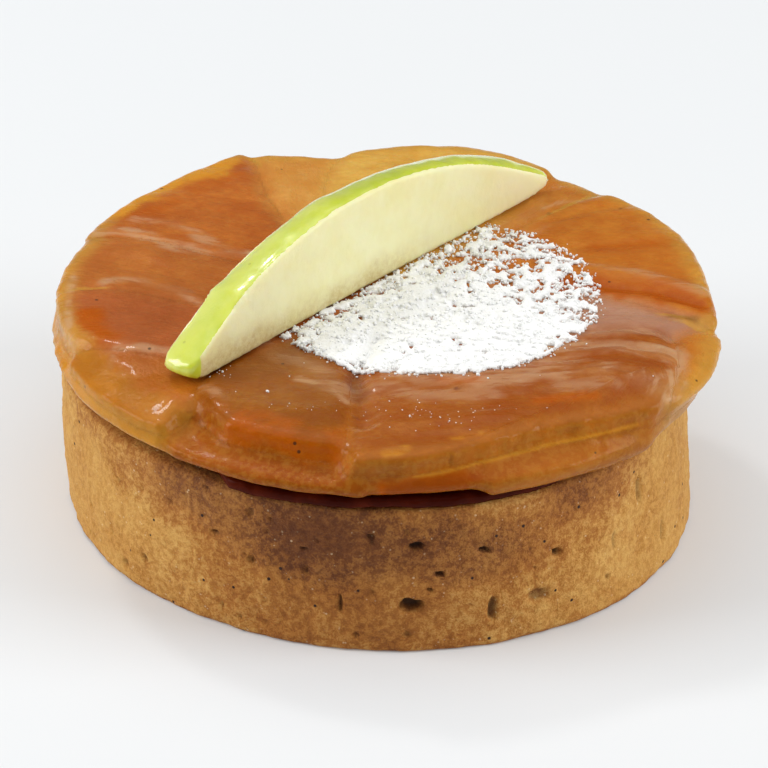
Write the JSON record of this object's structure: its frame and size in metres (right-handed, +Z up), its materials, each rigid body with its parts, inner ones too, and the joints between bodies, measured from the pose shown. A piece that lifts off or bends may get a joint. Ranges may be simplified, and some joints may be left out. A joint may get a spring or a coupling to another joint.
{
  "type": "tarte tatin",
  "caption": "Small round tarte tatin: a tall shortcrust base, glazed caramelised apple pieces on top, an upright fresh apple slice and a patch of icing sugar.",
  "frame": {"origin": "centre of the crust's flat underside", "axes": "+Z up, +X the right of the tart as it is served, +Y away from its front"},
  "size_m": [0.0792, 0.0806, 0.0402],
  "materials": {
    "baked_crust": "golden baked shortcrust, sandy and matt, browned towards its rim",
    "dark_caramel": "dark glossy caramel",
    "honey_apple": "glazed caramelised apple, pale honey",
    "tan_apple": "glazed caramelised apple, tan",
    "orange_apple": "glazed caramelised apple, orange",
    "amber_apple": "glazed caramelised apple, amber",
    "russet_apple": "glazed caramelised apple, reddish brown",
    "fresh_apple": "raw cream apple flesh with shiny yellow-green skin along its curved edge",
    "icing_sugar": "matt white icing sugar"
  },
  "bodies": {
    "root": {"pastry_crust": "baked_crust", "caramel_layer": "dark_caramel", "apple_low_left": "honey_apple", "apple_low_front_left": "tan_apple", "apple_low_front": "orange_apple", "apple_low_front_small": "amber_apple", "apple_low_front_right": "tan_apple", "apple_low_right": "honey_apple", "apple_low_back_right": "amber_apple", "apple_low_back": "amber_apple", "apple_low_back_left": "orange_apple", "apple_top_back_left": "orange_apple", "apple_top_left": "amber_apple", "apple_top_front_left": "russet_apple", "apple_top_left_edge": "tan_apple", "apple_top_front": "amber_apple", "apple_top_front_right": "russet_apple", "apple_top_right_wedge": "russet_apple", "apple_top_right_edge": "honey_apple", "apple_top_right": "orange_apple", "apple_top_back_right": "tan_apple", "apple_top_back": "honey_apple", "apple_top_back_small": "orange_apple", "fresh_apple_slice": "fresh_apple", "icing_sugar": "icing_sugar"}
  },
  "joints": []
}
